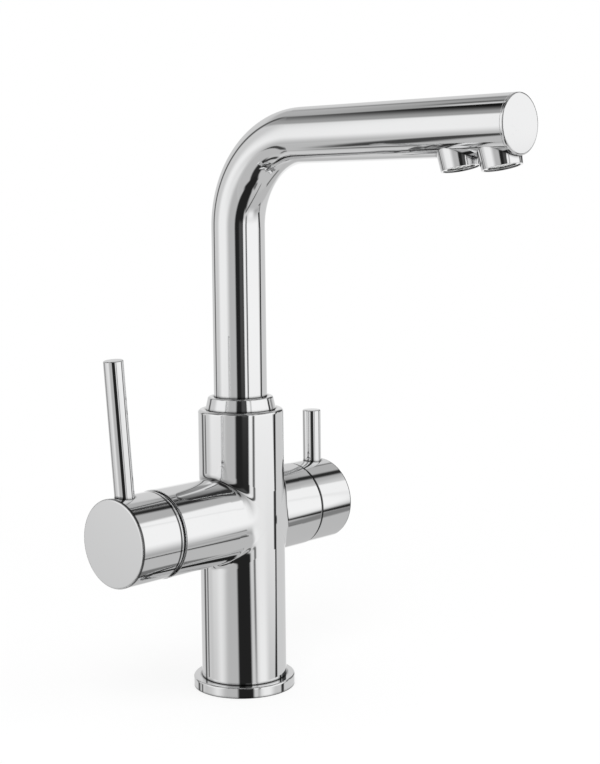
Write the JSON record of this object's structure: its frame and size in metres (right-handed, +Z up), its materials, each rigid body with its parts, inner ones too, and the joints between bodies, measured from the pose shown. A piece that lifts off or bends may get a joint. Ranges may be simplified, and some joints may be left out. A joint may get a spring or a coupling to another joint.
{
  "type": "three-way kitchen tap",
  "caption": "Chrome kitchen tap: upright body on a round flange, cross tube with mixer lever and filtered water lever, and a swivelling L spout with two outlets.",
  "frame": {"origin": "centre of the base on the worktop plane", "axes": "+Z up along the body, -Y towards the spout's outlets, -X towards the mixer knob, +X towards the filtered water knob"},
  "size_m": [0.1545, 0.2029, 0.3023],
  "materials": {
    "chrome": "polished chrome plate",
    "brass": "machined brass",
    "rubber": "smooth black rubber",
    "white_plastic": "moulded white plastic",
    "grey_plastic": "moulded grey plastic",
    "ceramic": "lapped alumina ceramic",
    "steel": "stainless steel"
  },
  "bodies": {
    "tap_body": {"body_casting": "chrome", "base_flange": "chrome", "deck_seal": "rubber", "swivel_collar": "chrome", "lower_slip_washer": "white_plastic", "port_seals": "rubber", "cartridge_base": "white_plastic", "disc_gasket": "rubber", "mixer_fixed_disc": "ceramic", "cartridge_housing": "white_plastic", "cartridge_nut": "brass", "neck_ring": "chrome", "filter_seat_seal": "rubber", "filter_fixed_disc": "ceramic", "headwork_body": "brass", "headwork_seal": "rubber", "filter_glide_ring": "rubber"},
    "spout": {"spout_tube": "chrome", "spout_end_cap": "chrome", "spout_insert": "brass", "spout_seals": "rubber", "nose_seal": "rubber", "guide_ring": "white_plastic", "upper_slip_washer": "white_plastic", "inner_tube": "white_plastic", "mains_socket": "chrome", "filter_socket": "chrome", "mains_aerator_shell": "grey_plastic", "mains_aerator_core": "white_plastic", "mains_aerator_washer": "rubber", "filter_outlet_shell": "grey_plastic", "filter_outlet_core": "white_plastic", "filter_outlet_washer": "rubber"},
    "mixer_rotor": {"cartridge_rotor": "grey_plastic", "pivot_pin": "steel"},
    "mixer_handle": {"cartridge_stem": "brass", "mixer_knob": "chrome", "mixer_lever": "chrome", "mixer_grub_screw": "steel"},
    "mixer_disc": {"mixer_moving_disc": "ceramic", "disc_carrier": "grey_plastic"},
    "filter_handle": {"headwork_spindle": "brass", "filter_moving_disc": "ceramic", "filter_knob": "chrome", "filter_lever": "chrome", "filter_grub_screw": "steel", "spindle_clip": "steel", "spindle_seals": "rubber"}
  },
  "joints": [
    {"name": "spout_swivel", "type": "hinge", "parent": "tap_body", "child": "spout", "pos_m": [0, 0, 0.15], "axis": [0, 0, 1], "continuous": true},
    {"name": "mixer_turn", "type": "hinge", "parent": "tap_body", "child": "mixer_rotor", "pos_m": [-0.0611, 0, 0.0905], "axis": [1, 0, 0], "range_deg": [-45, 45]},
    {"name": "mixer_lift", "type": "hinge", "parent": "mixer_rotor", "child": "mixer_handle", "pos_m": [-0.0611, 0, 0.0905], "axis": [0, -1, 0], "range_deg": [0, 10]},
    {"name": "disc_slide", "type": "slide", "parent": "mixer_rotor", "child": "mixer_disc", "axis": [0, 0, 1], "range_m": [0, 0.00286]},
    {"name": "filter_turn", "type": "hinge", "parent": "tap_body", "child": "filter_handle", "pos_m": [0.05, 0, 0.0905], "axis": [1, 0, 0], "range_deg": [0, 90]}
  ],
  "couplings": [
    {"joint": "disc_slide", "follows": "mixer_lift", "m_per_rad": 0.016317}
  ]
}
